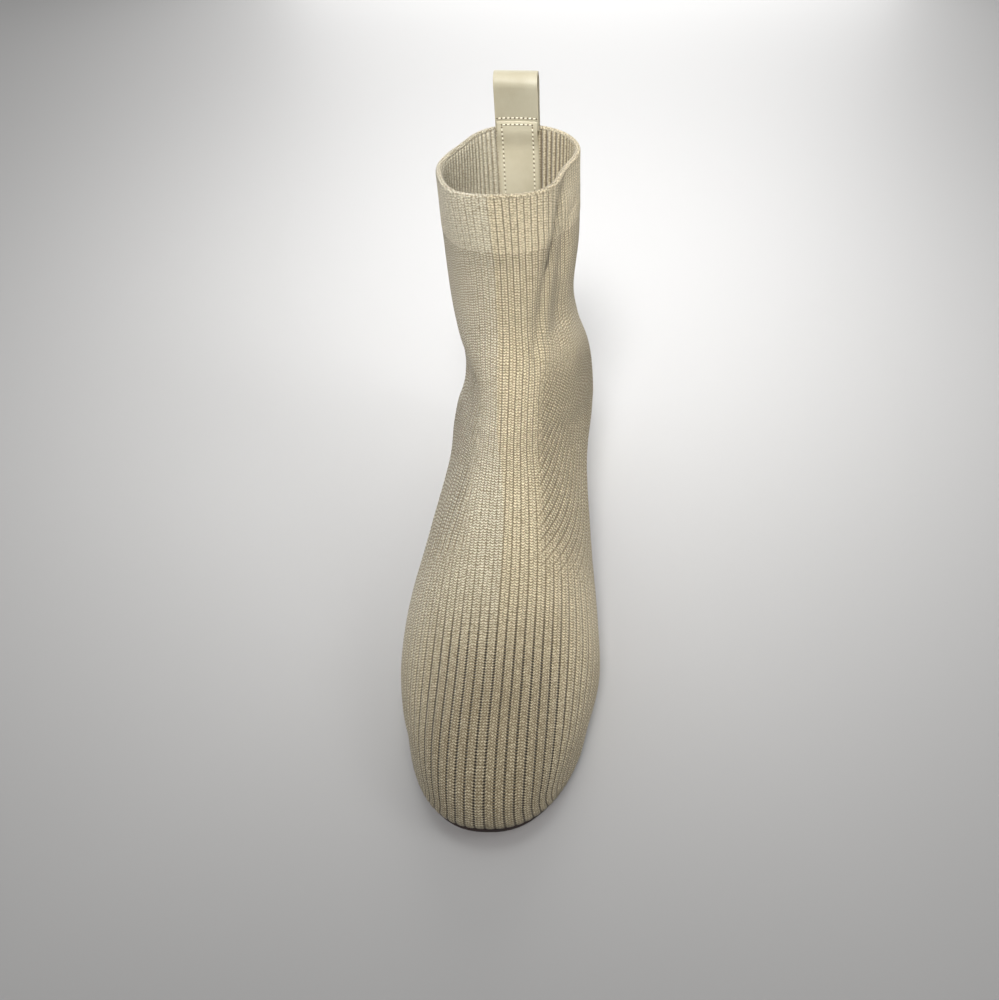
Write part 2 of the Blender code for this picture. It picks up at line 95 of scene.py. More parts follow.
# Half widths of the lower edge as shares of the ball width: along, lateral, medial
EDGE = np.array([
    (0.00, 0.335, 0.335),
    (0.12, 0.340, 0.340),
    (0.24, 0.325, 0.310),
    (0.38, 0.330, 0.270),
    (0.52, 0.390, 0.320),
    (0.64, 0.450, 0.420),
    (0.73, 0.475, 0.460),
    (0.84, 0.457, 0.447),
    (1.00, 0.436, 0.435),
])

# Rings of the wall from the collar to the toe, as shares of the named sizes: ridge along and up,
# base along and up, lateral and medial half width, place of the widest point, fullness in front
# and behind. The first three rows are the shaft, the next six the heel and ankle, the rest the foot.
RINGS = np.array([
    (0.327, 1.094, 0.036, 1.006, 0.502, 0.490, 0.50, 2.25, 2.30),
    (0.322, 0.857, 0.048, 0.770, 0.508, 0.468, 0.50, 2.10, 2.15),
    (0.342, 0.685, 0.052, 0.560, 0.488, 0.412, 0.48, 2.00, 2.05),
    (0.362, 1.146, 0.040, 0.390, 0.446, 0.420, 0.44, 2.00, 2.00),
    (0.400, 1.075, 0.017, 0.245, 0.424, 0.484, 0.38, 1.95, 2.00),
    (0.436, 1.020, 0.008, 0.122, 0.430, 0.512, 0.32, 1.95, 2.00),
    (0.462, 0.984, SEAT_START, 0.000, 0.490, 0.522, 0.27, 2.00, 2.00),
    (0.487, 0.954, 0.115, 0.000, 0.508, 0.518, 0.24, 2.00, 2.00),
    (0.516, 0.896, 0.270, 0.000, 0.504, 0.500, 0.23, 2.00, 2.00),
    (0.572, 0.808, 0.440, 0.000, 0.470, 0.434, 0.25, 2.05, 2.00),
    (0.645, 0.702, 0.595, 0.000, 0.538, 0.484, 0.27, 2.10, 2.00),
    (0.730, 0.595, 0.730, 0.000, 0.528, 0.508, 0.29, 2.20, 2.00),
    (0.805, 0.512, 0.812, 0.000, 0.480, 0.464, 0.30, 2.30, 2.00),
    (0.860, 0.458, 0.860, 0.000, 0.426, 0.424, 0.30, 2.35, 2.00),
])
RING_HEIGHTS = np.array([SHAFT_HEIGHT] * 3 + [INSTEP_HEIGHT] * 11)
RING_WIDTHS = np.array([COLLAR_WIDTH] * 3 + [HEEL_WIDTH] * 6 + [BALL_WIDTH] * 5)
SEAT_RING = 6
LAST_RING = 13

# Soft dents: side, place in rings, place around, reach in rings and around, depth
DENTS = [
    (1, 0.0, 0.38, 0.8, 0.165, 0.088),
    (1, 1.0, 0.31, 0.7, 0.085, 0.060),
    (1, 2.2, 0.28, 0.8, 0.080, 0.050),
    (-1, 0.0, 0.68, 1.2, 0.190, 0.100),
    (-1, 0.0, 0.17, 1.0, 0.110, -0.045),
    (1, 3.7, 0.24, 0.8, 0.090, 0.025),
    (-1, 4.3, 0.33, 0.7, 0.110, 0.035),
]

SIDE_COLUMNS = 228
SIDE_RIBS = 38
BODY_ROWS = 178
KNIT_WALL = 0.0019
RIB_PITCH_FOOT = 0.0039
RIB_PITCH_HEEL = 0.0030
COURSE = 0.0012
TOE_ROLL = 0.0009
CUFF_LINE = 0.0275


def smooth_curve(knots, values, at):
    at = np.clip(np.asarray(at, float), knots[0], knots[-1])
    slopes = np.gradient(values, knots)
    i = np.clip(np.searchsorted(knots, at, side="right") - 1, 0, len(knots) - 2)
    span = knots[i + 1] - knots[i]
    t = (at - knots[i]) / span
    return (
        (2 * t**3 - 3 * t**2 + 1) * values[i]
        + (t**3 - 2 * t**2 + t) * span * slopes[i]
        + (3 * t**2 - 2 * t**3) * values[i + 1]
        + (t**3 - t**2) * span * slopes[i + 1]
    )


def even_points(points, count):
    steps = np.linalg.norm(np.diff(points, axis=0), axis=1)
    run = np.concatenate([[0], np.cumsum(steps)])
    at = np.linspace(0, run[-1], count)
    return np.stack([np.interp(at, run, column) for column in points.T], axis=1)


def smooth_step(low, high, value):
    t = np.clip((value - low) / (high - low), 0, 1)
    return t * t * (3 - 2 * t)


def edge_height(along):
    s = np.asarray(along, float)
    tread = SOLE_THICKNESS + SOLE_GAP
    seat = HEEL_RISE - SEAT_FALL * s / SEAT_END
    waist_length = TREAD_START - SEAT_END
    t = np.clip((s - SEAT_END) / waist_length, 0, 1)
    waist = (
        (2 * t**3 - 3 * t**2 + 1) * (HEEL_RISE - SEAT_FALL)
        - (t**3 - 2 * t**2 + t) * waist_length * SEAT_FALL / SEAT_END
        + (3 * t**2 - 2 * t**3) * tread
    )
    rise = np.clip((s - TREAD_END) / (1 - TREAD_END), 0, None)
    return np.where(s < SEAT_END, seat, waist) + TOE_SPRING * rise**1.6


def edge_width(along, side):
    s = np.asarray(along, float)
    table = smooth_curve(EDGE[:, 0], EDGE[:, 1 if side < 0 else 2], s)
    heel = np.clip((SEAT_START + HEEL_ROUND - s) / HEEL_ROUND, 0, 1)
    toe = np.clip((s - WIDEST) / (1 - WIDEST), 0, 1)
    heel_rounding = (1 - heel**HEEL_FULLNESS) ** (1 / HEEL_FULLNESS)
    toe_rounding = (1 - toe**TOE_FULLNESS) ** (1 / TOE_FULLNESS)
    return table * BALL_WIDTH * heel_rounding * toe_rounding


RING_METRES = np.stack([
    RINGS[:, 0] * LENGTH,
    edge_height(RINGS[:, 0]) + RINGS[:, 1] * RING_HEIGHTS,
    RINGS[:, 2] * LENGTH,
    edge_height(RINGS[:, 2]) + RINGS[:, 3] * SHAFT_HEIGHT,
    RINGS[:, 4] * RING_WIDTHS,
    RINGS[:, 5] * RING_WIDTHS,
    RINGS[:, 6],
    RINGS[:, 7],
    RINGS[:, 8],
], axis=1)


def half_ring(position, side, out=0.0):
    """One side of a ring, from its ridge to its base: metres along, sideways and up."""
    from_seat = position - SEAT_RING
    base_position = position
    if abs(from_seat) < 1:
        base_position = SEAT_RING + math.copysign(abs(from_seat) ** SEAT_EASE, from_seat)
    rows = np.arange(len(RING_METRES))
    found = [float(smooth_curve(rows, column, base_position if n in (2, 3) else position))
             for n, column in enumerate(RING_METRES.T)]
    ridge_s, ridge_z, base_s, base_z, lateral, medial, widest, front, back = found
    is_open = position > SEAT_RING
    if is_open:
        base_z = float(edge_height(base_s / LENGTH))
    width = (lateral if side < 0 else medial) + out
    ridge_s += out
    base_s -= out
    end = float(edge_width(base_s / LENGTH, side)) if is_open else 0.0
    width = max(width, end * 1.02)
    turn = math.acos((end / width) ** (back / 2))
    t = np.linspace(math.pi / 2, 0, 400)
    front_x = np.abs(np.cos(t)) ** (2 / front) * width
    front_share = widest + (1 - widest) * np.sin(t) ** (2 / front)
    t = np.linspace(0, turn, 400)[1:]
    back_x = np.abs(np.cos(t)) ** (2 / back) * width
    back_share = widest * (1 - (np.sin(t) / math.sin(turn)) ** (2 / back))
    share = np.concatenate([front_share, back_share])
    curve = np.stack([
        base_s + (ridge_s - base_s) * share,
        side * np.concatenate([front_x, back_x]),
        base_z + (ridge_z - base_z) * share,
    ], axis=1)
    points = even_points(curve, SIDE_COLUMNS + 1)
    around = np.linspace(0, 1, SIDE_COLUMNS + 1)
    inward = np.array([(ridge_s + base_s) / 2, 0, (ridge_z + base_z) / 2]) - points
    inward /= np.linalg.norm(inward, axis=1)[:, None]
    depth = np.zeros(len(points))
    for dent_side, ring, place, rings, spread, deep in DENTS:
        if dent_side == side:
            depth += deep * COLLAR_WIDTH * np.exp(
                -((position - ring) / rings) ** 2 - ((around - place) / spread) ** 2)
    return points + inward * depth[:, None]


TOE_STATIONS = {side: half_ring(LAST_RING, side) for side in (-1, 1)}


def toe_half_ring(side, share):
    """A ring of the toe, between the toe station (0) and the front of the lower edge (1)."""
    station = TOE_STATIONS[side]
    turn = share * math.pi / 2
    forward = math.sin(turn) ** (2 / TOE_PROFILE)
    down = max(math.cos(turn), 0) ** (2 / TOE_PROFILE)
    front_along = 1 - (1 - TOE_CORNER) * np.linspace(0, 1, 400) ** 2
    front = np.stack([front_along * LENGTH, edge_width(front_along, side)], axis=1)
    front = even_points(front, SIDE_COLUMNS + 1)
    bulge = TOE_OVERHANG / (LENGTH * (1 - TOE_STATION)) * 4 * down * (1 - down)
    bulge = bulge * (1 - np.linspace(0, 1, SIDE_COLUMNS + 1) ** 2)
    reach = (front[:, 0] - TOE_STATION * LENGTH) * (forward + bulge)
    corner = TOE_STATION + (TOE_CORNER - TOE_STATION) * forward
    widths = edge_width(np.array([TOE_STATION, corner, TOE_CORNER]), side)
    narrowing = (widths[1] - widths[0]) / (widths[2] - widths[0])
    rise = station[:, 2] - edge_height(TOE_STATION)
    slope = (RINGS[-1, 1] - RINGS[-2, 1]) * INSTEP_HEIGHT / ((RINGS[-1, 0] - RINGS[-2, 0]) * LENGTH)
    falling = rise * (1 + slope * reach / rise[0])
    along = TOE_STATION * LENGTH + reach
    return np.stack([
        along,
        station[:, 1] + (side * front[:, 1] - station[:, 1]) * narrowing,
        edge_height(along / LENGTH) + falling * down,
    ], axis=1)


def whole_ring(position, out=0.0):
    """A ring from the lateral base over the ridge to the medial base; past the last ring, the toe."""
    if position <= LAST_RING:
        lateral, medial = half_ring(position, -1, out), half_ring(position, 1, out)
    else:
        share = min(position - LAST_RING, 1)
        lateral, medial = toe_half_ring(-1, share), toe_half_ring(1, share)
    ring = np.concatenate([lateral[::-1], medial[1:]])
    return np.stack([ring[:, 1], BACK_Y - ring[:, 0], ring[:, 2]], axis=1)


def even_positions(first, last, count):
    """Places between two rings whose rings lie an equal distance apart on average."""
    fine = np.linspace(first, last, 160)
    rings = np.array([whole_ring(p)[::16] for p in fine])
    steps = np.linalg.norm(np.diff(rings, axis=0), axis=2).mean(axis=1)
    run = np.concatenate([[0], np.cumsum(steps)])
    return np.interp(np.linspace(0, run[-1], count), run, fine)


def sheet_normals(points):
    """Unit normals of a sheet of rings, out of the boot."""
    across = np.gradient(points, axis=1)
    down = np.gradient(points, axis=0)
    normals = np.cross(down, across)
    return normals / np.maximum(np.linalg.norm(normals, axis=2, keepdims=True), 1e-12)


def cuff_ring():
    """Where, in rings from the collar, the wall is the cuff's height below the rim."""
    fine = np.linspace(0, 2, 81)
    heights = np.array([whole_ring(p)[:, 2].mean() for p in fine])
    return float(np.interp(CUFF_LINE, heights[0] - heights, fine))


def knit_mesh():
    """An empty bmesh with the knit's two stitch maps and three masks."""
    solid = bmesh.new()
    for name in ("ribs", "turned"):
        solid.loops.layers.uv.new(name)
    for name in ("turn", "open", "cool"):
        solid.verts.layers.float.new(name)
    return solid


def knit_sheet(solid, points, ribs, turned_ribs, zones):
    """A grid of knit at points[row][column] with its stitch coordinates in two maps and three masks."""
    rows, columns = points.shape[:2]
    rib_map = solid.loops.layers.uv["ribs"]
    turn_map = solid.loops.layers.uv["turned"]
    turn_mask = solid.verts.layers.float["turn"]
    open_mask = solid.verts.layers.float["open"]
    cool_mask = solid.verts.layers.float["cool"]
    grid = bmesh.ops.create_grid(solid, x_segments=columns - 1, y_segments=rows - 1, size=0.5)
    vertices = grid["verts"]
    place = {}
    for vertex in vertices:
        column = round((vertex.co.x + 0.5) * (columns - 1))
        row = round((vertex.co.y + 0.5) * (rows - 1))
        place[vertex] = (row, column)
        vertex.co = points[row][column]
        vertex[turn_mask] = zones[row][column][0]
        vertex[open_mask] = zones[row][column][1]
        vertex[cool_mask] = zones[row][column][2]
    faces = {face for vertex in vertices for face in vertex.link_faces}
    for face in faces:
        for loop in face.loops:
            row, column = place[loop.vert]
            loop[rib_map].uv = ribs[row][column]
            loop[turn_map].uv = turned_ribs[row][column]
    return vertices, list(faces)


def add_piece(name, solid, finishes):
    """A smooth shaded object from a bmesh, riding with the boot."""
    mesh = bpy.data.meshes.new(name)
    solid.to_mesh(mesh)
    solid.free()
    for finish in finishes:
        mesh.materials.append(finish)
    mesh.shade_smooth()
    piece = bpy.data.objects.new(name, mesh)
    bpy.context.scene.collection.objects.link(piece)
    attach(piece, "root")
    return piece


class Value:
    """A socket that plain arithmetic works on: each operator adds its Math node."""

    def __init__(self, finish, socket):
        self.finish = finish
        self.socket = socket

    def math(self, operation, *others):
        return self.finish.node("ShaderNodeMath", {"operation": operation}, [self, *others])

    def __add__(self, other):
        return self.math("ADD", other)

    def __sub__(self, other):
        return self.math("SUBTRACT", other)

    def __mul__(self, other):
        return self.math("MULTIPLY", other)

    def __pow__(self, other):
        return self.math("POWER", other)

    def __rsub__(self, other):
        return self.finish.node("ShaderNodeMath", {"operation": "SUBTRACT"}, [other, self])

    def __abs__(self):
        return self.math("ABSOLUTE")

    __radd__ = __add__
    __rmul__ = __mul__

    def share(self, low, high, first=0.0, last=1.0):
        """Runs smoothly from first to last as the value goes from low to high."""
        return self.finish.node(
            "ShaderNodeMapRange", {"interpolation_type": "SMOOTHSTEP"},
            {"Value": self, "From Min": low, "From Max": high, "To Min": first, "To Max": last})


class Finish:
    """A material with one Principled shader, whose nodes are added through node()."""

    def __init__(self, name, **fixed):
        self.material = bpy.data.materials.new(name)
        self.material.use_nodes = True
        self.tree = self.material.node_tree
        self.shader = self.tree.nodes["Principled BSDF"]
        for socket, value in fixed.items():
            self.shader.inputs[socket.replace("_", " ")].default_value = value

    def node(self, kind, settings=None, inputs=(), output=0):
        made = self.tree.nodes.new(kind)
        for name, value in (settings or {}).items():
            setattr(made, name, value)
        pairs = inputs.items() if isinstance(inputs, dict) else enumerate(inputs)
        for name, value in pairs:
            if isinstance(value, Value):
                self.tree.links.new(value.socket, made.inputs[name])
            else:
                made.inputs[name].default_value = value
        return Value(self, made.outputs[output])

    def place(self):
        """Object coordinates in metres."""
        return self.node("ShaderNodeTexCoord", {}, (), 3)

    def noise(self, place, scale, detail):
        return self.node("ShaderNodeTexNoise", {}, {"Vector": place, "Scale": scale, "Detail": detail})

    def attribute(self, name):
        return self.node("ShaderNodeAttribute", {"attribute_name": name}, (), 2)

    def map_axes(self, name):
        """The two coordinates of one of the piece's own maps."""
        split = self.node("ShaderNodeSeparateXYZ", {}, [self.node("ShaderNodeUVMap", {"uv_map": name})])
        return split, Value(self, split.socket.node.outputs[1])

    def mix(self, share, first, last):
        """A colour between two colours."""
        return self.node("ShaderNodeMix", {"data_type": "RGBA"}, {0: share, 6: first, 7: last}, 2)

    def feed(self, socket, value):
        self.tree.links.new(value.socket, self.shader.inputs[socket])

    def bump(self, height_mm):
        """Raises the surface by a height in millimetres."""
        self.feed("Normal", self.node("ShaderNodeBump", {}, {"Distance": 0.001, "Height": height_mm}))


# Yarn: its colours, how fine its unevenness is (patches, plies and fuzz to the metre), and how high
# the fuzz and plies stand and how deep the ladder holes are, in millimetres. The first two colours
# are the yarn's own. The third is painted shade for the grooves and between the loops, and the fourth
# is a painted shadow in the ladder holes.
YARN_WARM = (0.860, 0.755, 0.530)
YARN_COOL = (0.830, 0.770, 0.600)
YARN_PAINTED_SHADE = (0.235, 0.185, 0.108)
LADDER_PAINTED_SHADOW = (0.022, 0.016, 0.010)
PATCHES = 35.0
SLACK = 260.0
PLIES = 700.0
FUZZ = 1500.0
FUZZ_MM = 0.09
PLIES_MM = 0.06
LADDER_MM = 0.35
LADDER_WIDTH = 0.21
TURNED_GROOVE_WIDTH = 0.22


def stitch_height(finish, rib, course, columns):
    """Columns of V stitches, so many to a rib, from 0 between the loops to 1 on their crowns.
    Each column is shifted a little along its rib against the next."""
    column = (rib * columns).math("FLOOR")
    offset = finish.node("ShaderNodeTexWhiteNoise", {"noise_dimensions": "1D"}, {"W": column})
    leg = abs((rib * columns).math("FRACT") * 2 - 1)
    wave = ((course + offset * 0.8 + leg * 0.5) * (2 * math.pi)).math("COSINE") * 0.5 + 0.5
    return wave * (1 - leg * leg * leg * 0.7)


def groove_depth(rib, width):
    """1 in the middle of the groove between two ribs, 0 on the ribs."""
    return abs((rib + 0.5).math("FRACT") - 0.5).share(0.0, width, 1.0, 0.0)


def knit_finish(name, brightness, stitch_mm, groove_mm, groove_width, shade, groove_shade):
    """Ribbed knit: two columns of stitches to a rib, or three where the toe opens it, grooves with
    ladder holes, and yarn that varies a little. Its colour holds painted shade between the loops
    (shade, more on the quarters) and in the grooves (groove_shade), more painted shade where the knit
    opens, most over the toe, and a painted shadow in the ladder holes."""
    finish = Finish(name, Roughness=0.88, Sheen_Weight=0.18, Sheen_Roughness=0.45,
                    Specular_IOR_Level=0.28)
    rib, course = finish.map_axes("ribs")
    turned_rib, turned_course = finish.map_axes("turned")
    turn = finish.attribute("turn")
    hole = finish.attribute("open")
    cool = finish.attribute("cool")
    ribbing = 1 - cool * 0.6
    groove = (groove_depth(rib, groove_width) * (1 - turn) * ribbing
              + groove_depth(turned_rib, TURNED_GROOVE_WIDTH) * turn)
    place = finish.place()
    slack = finish.noise(place, SLACK, 1.0) * 0.9
    at_toe = hole.share(0.25, 0.80)
    straight = (stitch_height(finish, rib, course + slack, 2) * (1 - at_toe)
                + stitch_height(finish, rib, course + slack * 0.4, 3) * at_toe)
    stitches = straight * (1 - turn) + stitch_height(finish, turned_rib, turned_course + slack, 2) * turn
    rung = (course * (2 * math.pi)).math("COSINE").share(-0.35, 0.25)
    ladder = groove_depth(rib, LADDER_WIDTH).share(0.15, 0.75) * rung * hole.share(0.0, 0.7)
    patches = finish.noise(place, PATCHES, 3.0)
    fuzz = finish.noise(place, FUZZ, 1.0)
    plies = finish.noise(place, PLIES, 1.0)
    finish.bump(stitches * (1 + turn * 0.9) * stitch_mm - groove * groove_mm - ladder * LADDER_MM
                + fuzz * FUZZ_MM + plies * PLIES_MM)
    # Painted shade: darker between the loops, more so on the quarters, in the grooves and where the knit
    # opens, most over the toe. The patches, fuzz and plies are the yarn's own uneven tone.
    shade_and_tone = ((1 - stitches) * (1 + turn * 0.3 - at_toe * 0.15) * shade
            + groove * groove_shade + hole * 0.34 + (patches - 0.5) * 0.22
            + (fuzz - 0.5) * 1.3 + (plies - 0.5) * 0.5)
    # The third colour is painted shade and the fourth is a painted shadow in the ladder holes.
    warm, light, deep, ladder_shadow = (
        tuple(c * brightness for c in colour) + (1,)
        for colour in (YARN_WARM, YARN_COOL, YARN_PAINTED_SHADE, LADDER_PAINTED_SHADOW))
    yarn = finish.mix(shade_and_tone.math("MINIMUM", 1.0).math("MAXIMUM", 0.0), finish.mix(cool, warm, light), deep)
    finish.feed("Base Color", finish.mix(ladder.math("MINIMUM", 1.0), yarn, ladder_shadow))
    return finish.material


body_knit = knit_finish("knit_body", 1.04, 0.34, 0.24, 0.15, 0.98, 0.42)
# The inside is the same yarn painted darker overall, with deep painted shade in its grooves, for the
# shaded inside of the boot.
inside_knit = knit_finish("knit_inside", 0.84, 0.20, 0.60, 0.40, 0.55, 0.90)

# The body's rows from just under the cuff to the front of the toe. The stitch coordinates are
# distances on the wall: ribs are counted from the ridge, courses from the cuff.
CUFF_RING = cuff_ring()
positions = even_positions(CUFF_RING - 0.06, LAST_RING + 1, BODY_ROWS)
wall = np.array([whole_ring(p) for p in positions])


def arc_lengths(rings):
    """Distances around each ring from its ridge, negative on the lateral side."""
    steps = np.linalg.norm(np.diff(rings, axis=1), axis=2)
    run = np.concatenate([np.zeros((len(rings), 1)), np.cumsum(steps, axis=1)], axis=1)
    return run - run[:, SIDE_COLUMNS:SIDE_COLUMNS + 1]


arc = arc_lengths(wall)
shaft_pitch = np.where(arc < 0, -arc[:, :1], arc[:, -1:]) / SIDE_RIBS
into_heel = smooth_step(2.2, 4.5, positions)[:, None]
into_foot = smooth_step(6.5, 10.5, positions)[:, None]
pitch = shaft_pitch * (1 - into_heel) + RIB_PITCH_HEEL * into_heel
pitch = pitch * (1 - into_foot) + RIB_PITCH_FOOT * into_foot
rib = arc / pitch
row_steps = np.median(np.linalg.norm(np.diff(wall[:, 190:-190], axis=0), axis=2), axis=1)
course_run = np.concatenate([[0], np.cumsum(row_steps)])
course = np.repeat(course_run[:, None], wall.shape[1], axis=1) / COURSE

# On the quarters the ribs slant up and back, away from the vamp.
SLANT = math.radians(38)
TURNED_PITCH = 0.0036
TURNED_RELIEF = 0.00026
LATERAL_SLANT = math.radians(-15)
up_run = (course_run[-1] - course_run)[:, None]
slant = np.where(arc > 0, SLANT, LATERAL_SLANT)
turned_rib = (np.abs(arc) * np.cos(slant) - up_run * np.sin(slant)) / TURNED_PITCH
turned_course = (np.abs(arc) * np.sin(slant) + up_run * np.cos(slant)) / COURSE
quarter = smooth_step(3.0, 4.6, positions) * (1 - smooth_step(8.8, 10.4, positions))
medial_turn = smooth_step(0.012, 0.020, arc) * quarter[:, None]
lateral_turn = smooth_step(0.012, 0.024, -arc) * quarter[:, None] * 0.8
turn = medial_turn + lateral_turn

# The ladder between the ribs opens where the toe stretches the knit. The same mask also darkens
# the yarn as painted shade, most over the toe.
openness = (smooth_step(9.6, 12.9, positions)[:, None]
            * (1 - 0.75 * smooth_step(0.020, 0.038, np.abs(arc)))
            + 0.24 * (1 - smooth_step(6.0, 9.0, positions))[:, None])

# The lateral half is knitted in a slightly greyer yarn, up to a straight line beside the ridge.
yarn_line = 0.0053 - 0.0050 * smooth_step(5.0, 9.5, positions)[:, None]
cool_to_toe = 1 - 0.8 * smooth_step(9.0, 12.5, positions)[:, None]
cool = smooth_step(-0.0004, 0.0004, -arc - yarn_line) * cool_to_toe

# Creases of the slack knit, drawn one by one: side, path as rings from the collar and millimetres
# around from the ridge, half width and depth in millimetres. A negative depth is a ridge.
CREASES = [
    (1, ((0.05, 35.5), (0.5, 29.5), (0.8, 24.5), (1.35, 18), (2.1, 14.5), (3.2, 12.8), (4.4, 12.0)),
     3.5, 1.7),
    (1, ((0.2, 39), (0.8, 37.5), (1.3, 36), (1.9, 32)), 4.6, -1.0),
    (1, ((0.5, 18), (1.2, 10), (2.2, 6)), 3.6, -0.5),
    (1, ((3.0, 15), (2.7, 23), (2.55, 34), (2.4, 48)), 2.2, 0.65),
    (1, ((2.15, 24), (2.05, 48)), 1.5, 0.35),
    (1, ((0.66, 36), (0.52, 52)), 1.5, 0.5),
    (1, ((3.2, 30), (3.9, 52)), 4.5, -0.6),
    (1, ((4.4, 14), (5.3, 22), (6.4, 27)), 3.0, 0.45),
    (-1, ((4.5, 20), (4.2, 31), (4.0, 46)), 1.8, 0.8),
    (-1, ((4.2, 28), (5.6, 20), (7.4, 11)), 1.3, 0.3),
    (-1, ((5.0, 44), (5.7, 34), (6.8, 29)), 2.6, 0.4),
    (-1, ((0.9, 40), (1.8, 38), (3.0, 36)), 4.0, 0.4),
]
chart_places = np.linspace(0, 9, 160)
chart_rings = np.array([whole_ring(p)[100:-100:8] for p in chart_places])
chart_steps = np.linalg.norm(np.diff(chart_rings, axis=0), axis=2).mean(axis=1) * 1000
chart_run = np.concatenate([[0], np.cumsum(chart_steps)])


def press_creases(points, normals, positions, arc):
    """Soft troughs and ridges pressed into the wall along drawn paths."""
    down = np.interp(positions, chart_places, chart_run)[:, None] + 0 * arc
    depth = np.zeros(arc.shape)
    for side, path, reach, deep in CREASES:
        knots = [np.array([mm, np.interp(ring, chart_places, chart_run)]) for ring, mm in path]
        lengths = [0] + [np.linalg.norm(b - a) for a, b in zip(knots[:-1], knots[1:])]
        starts = np.cumsum(lengths) / sum(lengths)
        nearest = np.full(arc.shape, 1e9)
        passed = np.zeros(arc.shape)
        for n, (first, last) in enumerate(zip(knots[:-1], knots[1:])):
            way = last - first
            from_first = np.stack([side * arc * 1000, down], axis=-1) - first
            t = np.clip((from_first @ way) / (way @ way), 0, 1)
            away = np.linalg.norm(from_first - t[..., None] * way, axis=-1)
            passed = np.where(away < nearest, starts[n] + t * (starts[n + 1] - starts[n]), passed)
            nearest = np.minimum(nearest, away)
        fade = smooth_step(0, 0.14, passed) * (1 - smooth_step(0.75, 1, passed))
        depth += deep * 0.001 * fade * np.exp(-(nearest / reach) ** 2)
    return points - normals * depth[..., None]


normals = sheet_normals(wall)
wall = press_creases(wall, normals, positions, arc)
ribbed = 1 - (0.5 + 0.5 * np.cos(2 * np.pi * rib)) ** 2
slanted = 0.5 - 0.5 * np.cos(2 * np.pi * turned_rib)
rib_height = np.interp(positions, (0, 6, 10, 13), (0.00010, 0.00013, 0.00018, 0.00024))[:, None]
relief = ribbed * (1 - turn) * rib_height + slanted * turn * TURNED_RELIEF
wall = wall + normals * (relief - rib_height / 2)[..., None]
along = (BACK_Y - wall[..., 1]) / LENGTH
above_edge = wall[..., 2] - edge_height(along)
wall[..., 2] -= 0.00045 * np.exp(-(above_edge / 0.0012) ** 2)
over_sole = TOE_ROLL * np.exp(-((above_edge - 0.002) / 0.0035) ** 2)
over_sole = over_sole * smooth_step(11.8, 13.0, positions)[:, None]
wall[..., :2] += normals[..., :2] * over_sole[..., None]
closed = positions <= SEAT_RING
seam = (wall[closed, 0] + wall[closed, -1]) / 2
wall[closed, 0] = seam
wall[closed, -1] = seam

inner_rows = np.unique(np.concatenate([np.arange(0, BODY_ROWS, 3), [BODY_ROWS - 1]]))
inner = (wall - normals * KNIT_WALL)[inner_rows][:, ::4]
inner[closed[inner_rows], 0] = inner[closed[inner_rows], -1]

body = knit_mesh()
rib_uv = np.stack([rib, course], axis=-1)
turn_uv = np.stack([turned_rib, turned_course], axis=-1)
zones = np.stack([turn, openness, cool], axis=-1)
outer_vertices = knit_sheet(body, wall, rib_uv, turn_uv, zones)[0]
inner_vertices, inner_faces = knit_sheet(
    body, inner, rib_uv[inner_rows][:, ::4], turn_uv[inner_rows][:, ::4], zones[inner_rows][:, ::4])
for face in inner_faces:
    face.material_index = 1
bmesh.ops.remove_doubles(body, verts=outer_vertices, dist=2e-6)
inner_vertices = [v for v in inner_vertices if v.is_valid]
bmesh.ops.remove_doubles(body, verts=inner_vertices, dist=2e-6)


def border_loops(solid):
    """The open borders of a mesh, each as a list of edges."""
    left = {edge for edge in solid.edges if len(edge.link_faces) == 1}
    loops = []
    while left:
        found = [left.pop()]
        reach = list(found[0].verts)
        while reach:
            for edge in reach.pop().link_edges:
                if edge in left:
                    left.remove(edge)
                    found.append(edge)
                    reach.extend(edge.verts)
        loops.append(found)
    return loops


borders = sorted(border_loops(body), key=lambda loop: -np.mean([e.verts[0].co.z for e in loop]))
for pair in (borders[:2], borders[2:4]):
    bmesh.ops.bridge_loops(body, edges=pair[0] + pair[1])
bmesh.ops.recalc_face_normals(body, faces=body.faces)
upper_body = add_piece("upper_body", body, [body_knit, inside_knit])
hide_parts("upper")

# Cuff. The top of the shaft is knitted double in a tighter rib, a little proud of the body. It
# ends in a rolled edge, and its inside shows the backs of the ribs.
CUFF_PROUD = 0.00022
CUFF_LIP = ((0.0, -0.00014), (0.015, 0.00004), (0.035, 0.00015), (0.06, CUFF_PROUD))
CUFF_WALL = 0.0024
CUFF_RIB = 0.00018
INSIDE_RIB = 0.00045
ROLL_RADIUS = 0.00125
CUFF_ROWS = 22
INSIDE_ROWS = 26
INSIDE_END = 1.5
ROLL_ROWS = 11
KNURL = 1.5
KNURL_SLANT = 0.6
RIM_START = 0.050
cuff_knit = knit_finish("knit_cuff", 1.08, 0.26, 0.26, 0.17, 0.75, 0.42)
roll_knit = knit_finish("knit_roll", 1.08, 0.24, 0.25, 0.17, 0.70, 0.20)


def wall_frame(position):
    """Points, outward normals and upward tangents of a ring of the shaft."""
    step = 0.03
    rings = np.array([whole_ring(max(position, step) + d) for d in (-step, 0, step)])
    here = whole_ring(position)
    out = sheet_normals(rings)[1]
    up = rings[0] - rings[2]
    seam = (out[0] + out[-1]) / 2
    out[0] = out[-1] = seam / np.linalg.norm(seam)
    return here, out, up / np.linalg.norm(up, axis=1)[:, None]


